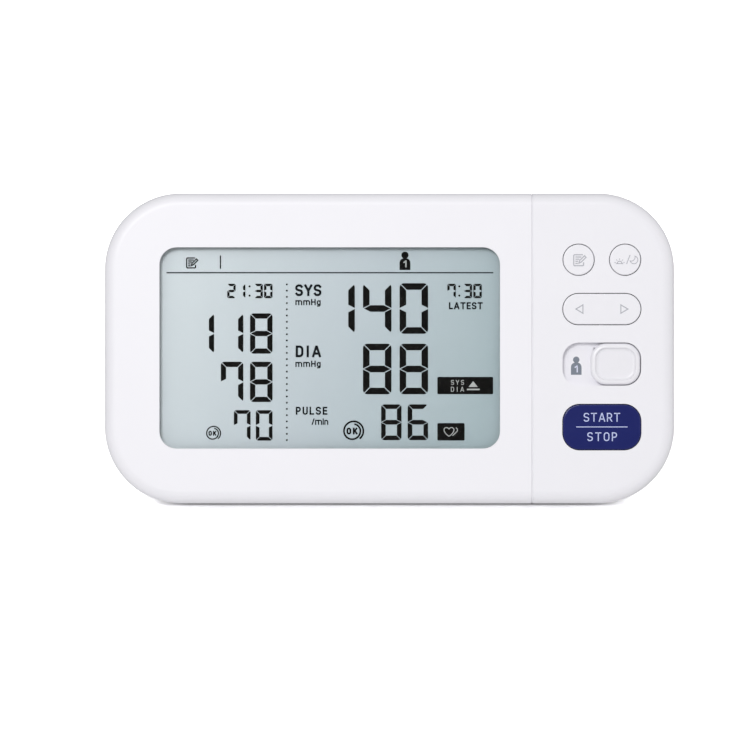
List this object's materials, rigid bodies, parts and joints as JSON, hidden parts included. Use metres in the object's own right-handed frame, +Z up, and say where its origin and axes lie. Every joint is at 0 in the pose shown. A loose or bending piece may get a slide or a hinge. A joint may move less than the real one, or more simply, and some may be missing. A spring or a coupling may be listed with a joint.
{
  "type": "blood pressure monitor",
  "caption": "Tabletop blood pressure monitor with a leaning face: large window, push and rocking keys, user slider, battery door, air pump and valve.",
  "frame": {"origin": "on the table, under the middle of the unit's box", "axes": "+X to the user's right across the face, +Y to the back, +Z up"},
  "size_m": [0.191, 0.12, 0.0848],
  "materials": {
    "casing_front": "fine satin, cool white",
    "casing_controls": "fine satin, cool white",
    "casing_rear": "fine spark texture, cool white",
    "door_plastic": "fine spark texture, cool white",
    "key_plastic": "satin, cool white",
    "start_plastic": "satin, deep blue",
    "slider_plastic": "satin, cool white",
    "inner_plastic": "moulded, light grey",
    "lens_acrylic": "clear, glossy",
    "adhesive_foam": "thin tape",
    "lcd_glass": "display glass, grey-green",
    "lcd_film": "polarising film with the segments",
    "lcd_reflector_film": "matt reflective film",
    "zebra_rubber": "striped elastomer",
    "board_laminate": "green solder mask",
    "screw_steel": "zinc plated",
    "chip_epoxy": "black moulded",
    "capacitor_can": "drawn cans",
    "plug_nylon": "natural nylon",
    "plunger_plastic": "moulded",
    "switch_steel": "pressed shell",
    "lever_plastic": "black moulded",
    "cell_sleeve": "printed sleeve over a steel can",
    "spring_steel": "nickel plated",
    "foot_rubber": "grey, matt",
    "pump_plastic": "black moulded",
    "diaphragm_rubber": "soft, black",
    "crank_plastic": "acetal, natural",
    "sleeve_foam": "soft foam rubber",
    "motor_steel": "nickel plated can",
    "bush_bronze": "sintered bronze",
    "magnet_ferrite": "ferrite",
    "rotor_steel": "laminated core on a steel shaft",
    "tube_silicone": "translucent silicone",
    "sensor_plastic": "black moulded",
    "yoke_steel": "zinc plated",
    "coil_winding": "enamelled copper winding",
    "jack_plastic": "dark grey moulded",
    "socket_plastic": "black moulded",
    "pin_brass": "nickel-plated brass",
    "wire_insulation": "PVC insulation"
  },
  "bodies": {
    "console": {"display_cover": "casing_front", "control_cover": "casing_controls", "rear_casing": "casing_rear", "lcd_frame": "inner_plastic", "valve_nozzle": "inner_plastic", "air_manifold": "inner_plastic", "window_lens": "lens_acrylic", "window_tape": "adhesive_foam", "lcd_front_glass": "lcd_glass", "lcd_rear_glass": "lcd_glass", "lcd_polariser": "lcd_film", "lcd_reflector": "lcd_reflector_film", "zebra_connector": "zebra_rubber", "main_board": "board_laminate", "board_screws": "screw_steel", "case_screws": "screw_steel", "microcontroller": "chip_epoxy", "buzzer": "chip_epoxy", "tact_switches": "chip_epoxy", "capacitors": "capacitor_can", "board_plugs": "plug_nylon", "slide_switch": "switch_steel", "battery_cells": "cell_sleeve", "battery_springs": "spring_steel", "battery_contacts": "spring_steel", "valve_spring": "spring_steel", "rubber_feet": "foot_rubber", "pump_cap": "pump_plastic", "pump_head": "pump_plastic", "motor_end_cap": "pump_plastic", "pump_diaphragm": "diaphragm_rubber", "pump_sleeve": "sleeve_foam", "motor_can": "motor_steel", "motor_bushes": "bush_bronze", "motor_magnets": "magnet_ferrite", "air_tubes": "tube_silicone", "pressure_sensor": "sensor_plastic", "valve_yoke": "yoke_steel", "valve_coil": "coil_winding", "air_jack": "jack_plastic", "air_jack_nut": "jack_plastic", "dc_jack": "socket_plastic", "dc_jack_pin": "pin_brass", "wiring": "wire_insulation"},
    "memory_press_body": {"memory_key": "key_plastic", "memory_plunger": "plunger_plastic"},
    "average_press_body": {"average_key": "key_plastic", "average_plunger": "plunger_plastic"},
    "start_press_body": {"start_key": "start_plastic", "start_plunger": "plunger_plastic"},
    "arrow_body": {"arrow_rocker": "key_plastic"},
    "left_plunger_body": {"left_plunger": "plunger_plastic"},
    "right_plunger_body": {"right_plunger": "plunger_plastic"},
    "slider_body": {"user_slider": "slider_plastic", "slider_carrier": "inner_plastic", "slide_switch_lever": "lever_plastic"},
    "door": {"battery_cover": "door_plastic"},
    "rotor": {"motor_armature": "rotor_steel", "pump_crank": "crank_plastic"},
    "valve_slug": {"valve_core": "yoke_steel"}
  },
  "joints": [
    {"name": "memory_press", "type": "slide", "parent": "console", "child": "memory_press_body", "axis": [0, -0.7071, 0.7071], "range_m": [-0.0005, 0], "stiffness_N_per_m": 1000, "springref_m": 0.001},
    {"name": "average_press", "type": "slide", "parent": "console", "child": "average_press_body", "axis": [0, -0.7071, 0.7071], "range_m": [-0.0005, 0], "stiffness_N_per_m": 1000, "springref_m": 0.001},
    {"name": "start_press", "type": "slide", "parent": "console", "child": "start_press_body", "axis": [0, -0.7071, 0.7071], "range_m": [-0.0005, 0], "stiffness_N_per_m": 1000, "springref_m": 0.001},
    {"name": "arrow_tilt", "type": "hinge", "parent": "console", "child": "arrow_body", "pos_m": [0.07105, -0.01265, 0.05602], "axis": [0, 0.7071, 0.7071], "range_deg": [-3, 3], "stiffness_Nm_per_rad": 0.23},
    {"name": "left_plunger_slide", "type": "slide", "parent": "console", "child": "left_plunger_body", "axis": [0, -0.7071, 0.7071], "range_m": [-0.00043, 0.00043]},
    {"name": "right_plunger_slide", "type": "slide", "parent": "console", "child": "right_plunger_body", "axis": [0, -0.7071, 0.7071], "range_m": [-0.00043, 0.00043]},
    {"name": "user_slide", "type": "slide", "parent": "console", "child": "slider_body", "axis": [1, 0, 0], "range_m": [-0.0092, 0]},
    {"name": "battery_door_swing", "type": "hinge", "parent": "console", "child": "door", "pos_m": [0, 0.05713, 0.0282], "axis": [-1, 0, 0], "range_deg": [0, 75]},
    {"name": "motor_spin", "type": "hinge", "parent": "console", "child": "rotor", "pos_m": [0.04, -0.005, 0.0191], "axis": [1, 0, 0], "continuous": true},
    {"name": "valve_stroke", "type": "slide", "parent": "console", "child": "valve_slug", "axis": [0, 1, 0], "range_m": [-0.0006, 0], "stiffness_N_per_m": 300, "springref_m": 0.001}
  ],
  "couplings": [
    {"joint": "left_plunger_slide", "follows": "arrow_tilt", "m_per_rad": 0.008},
    {"joint": "right_plunger_slide", "follows": "arrow_tilt", "m_per_rad": -0.008}
  ]
}
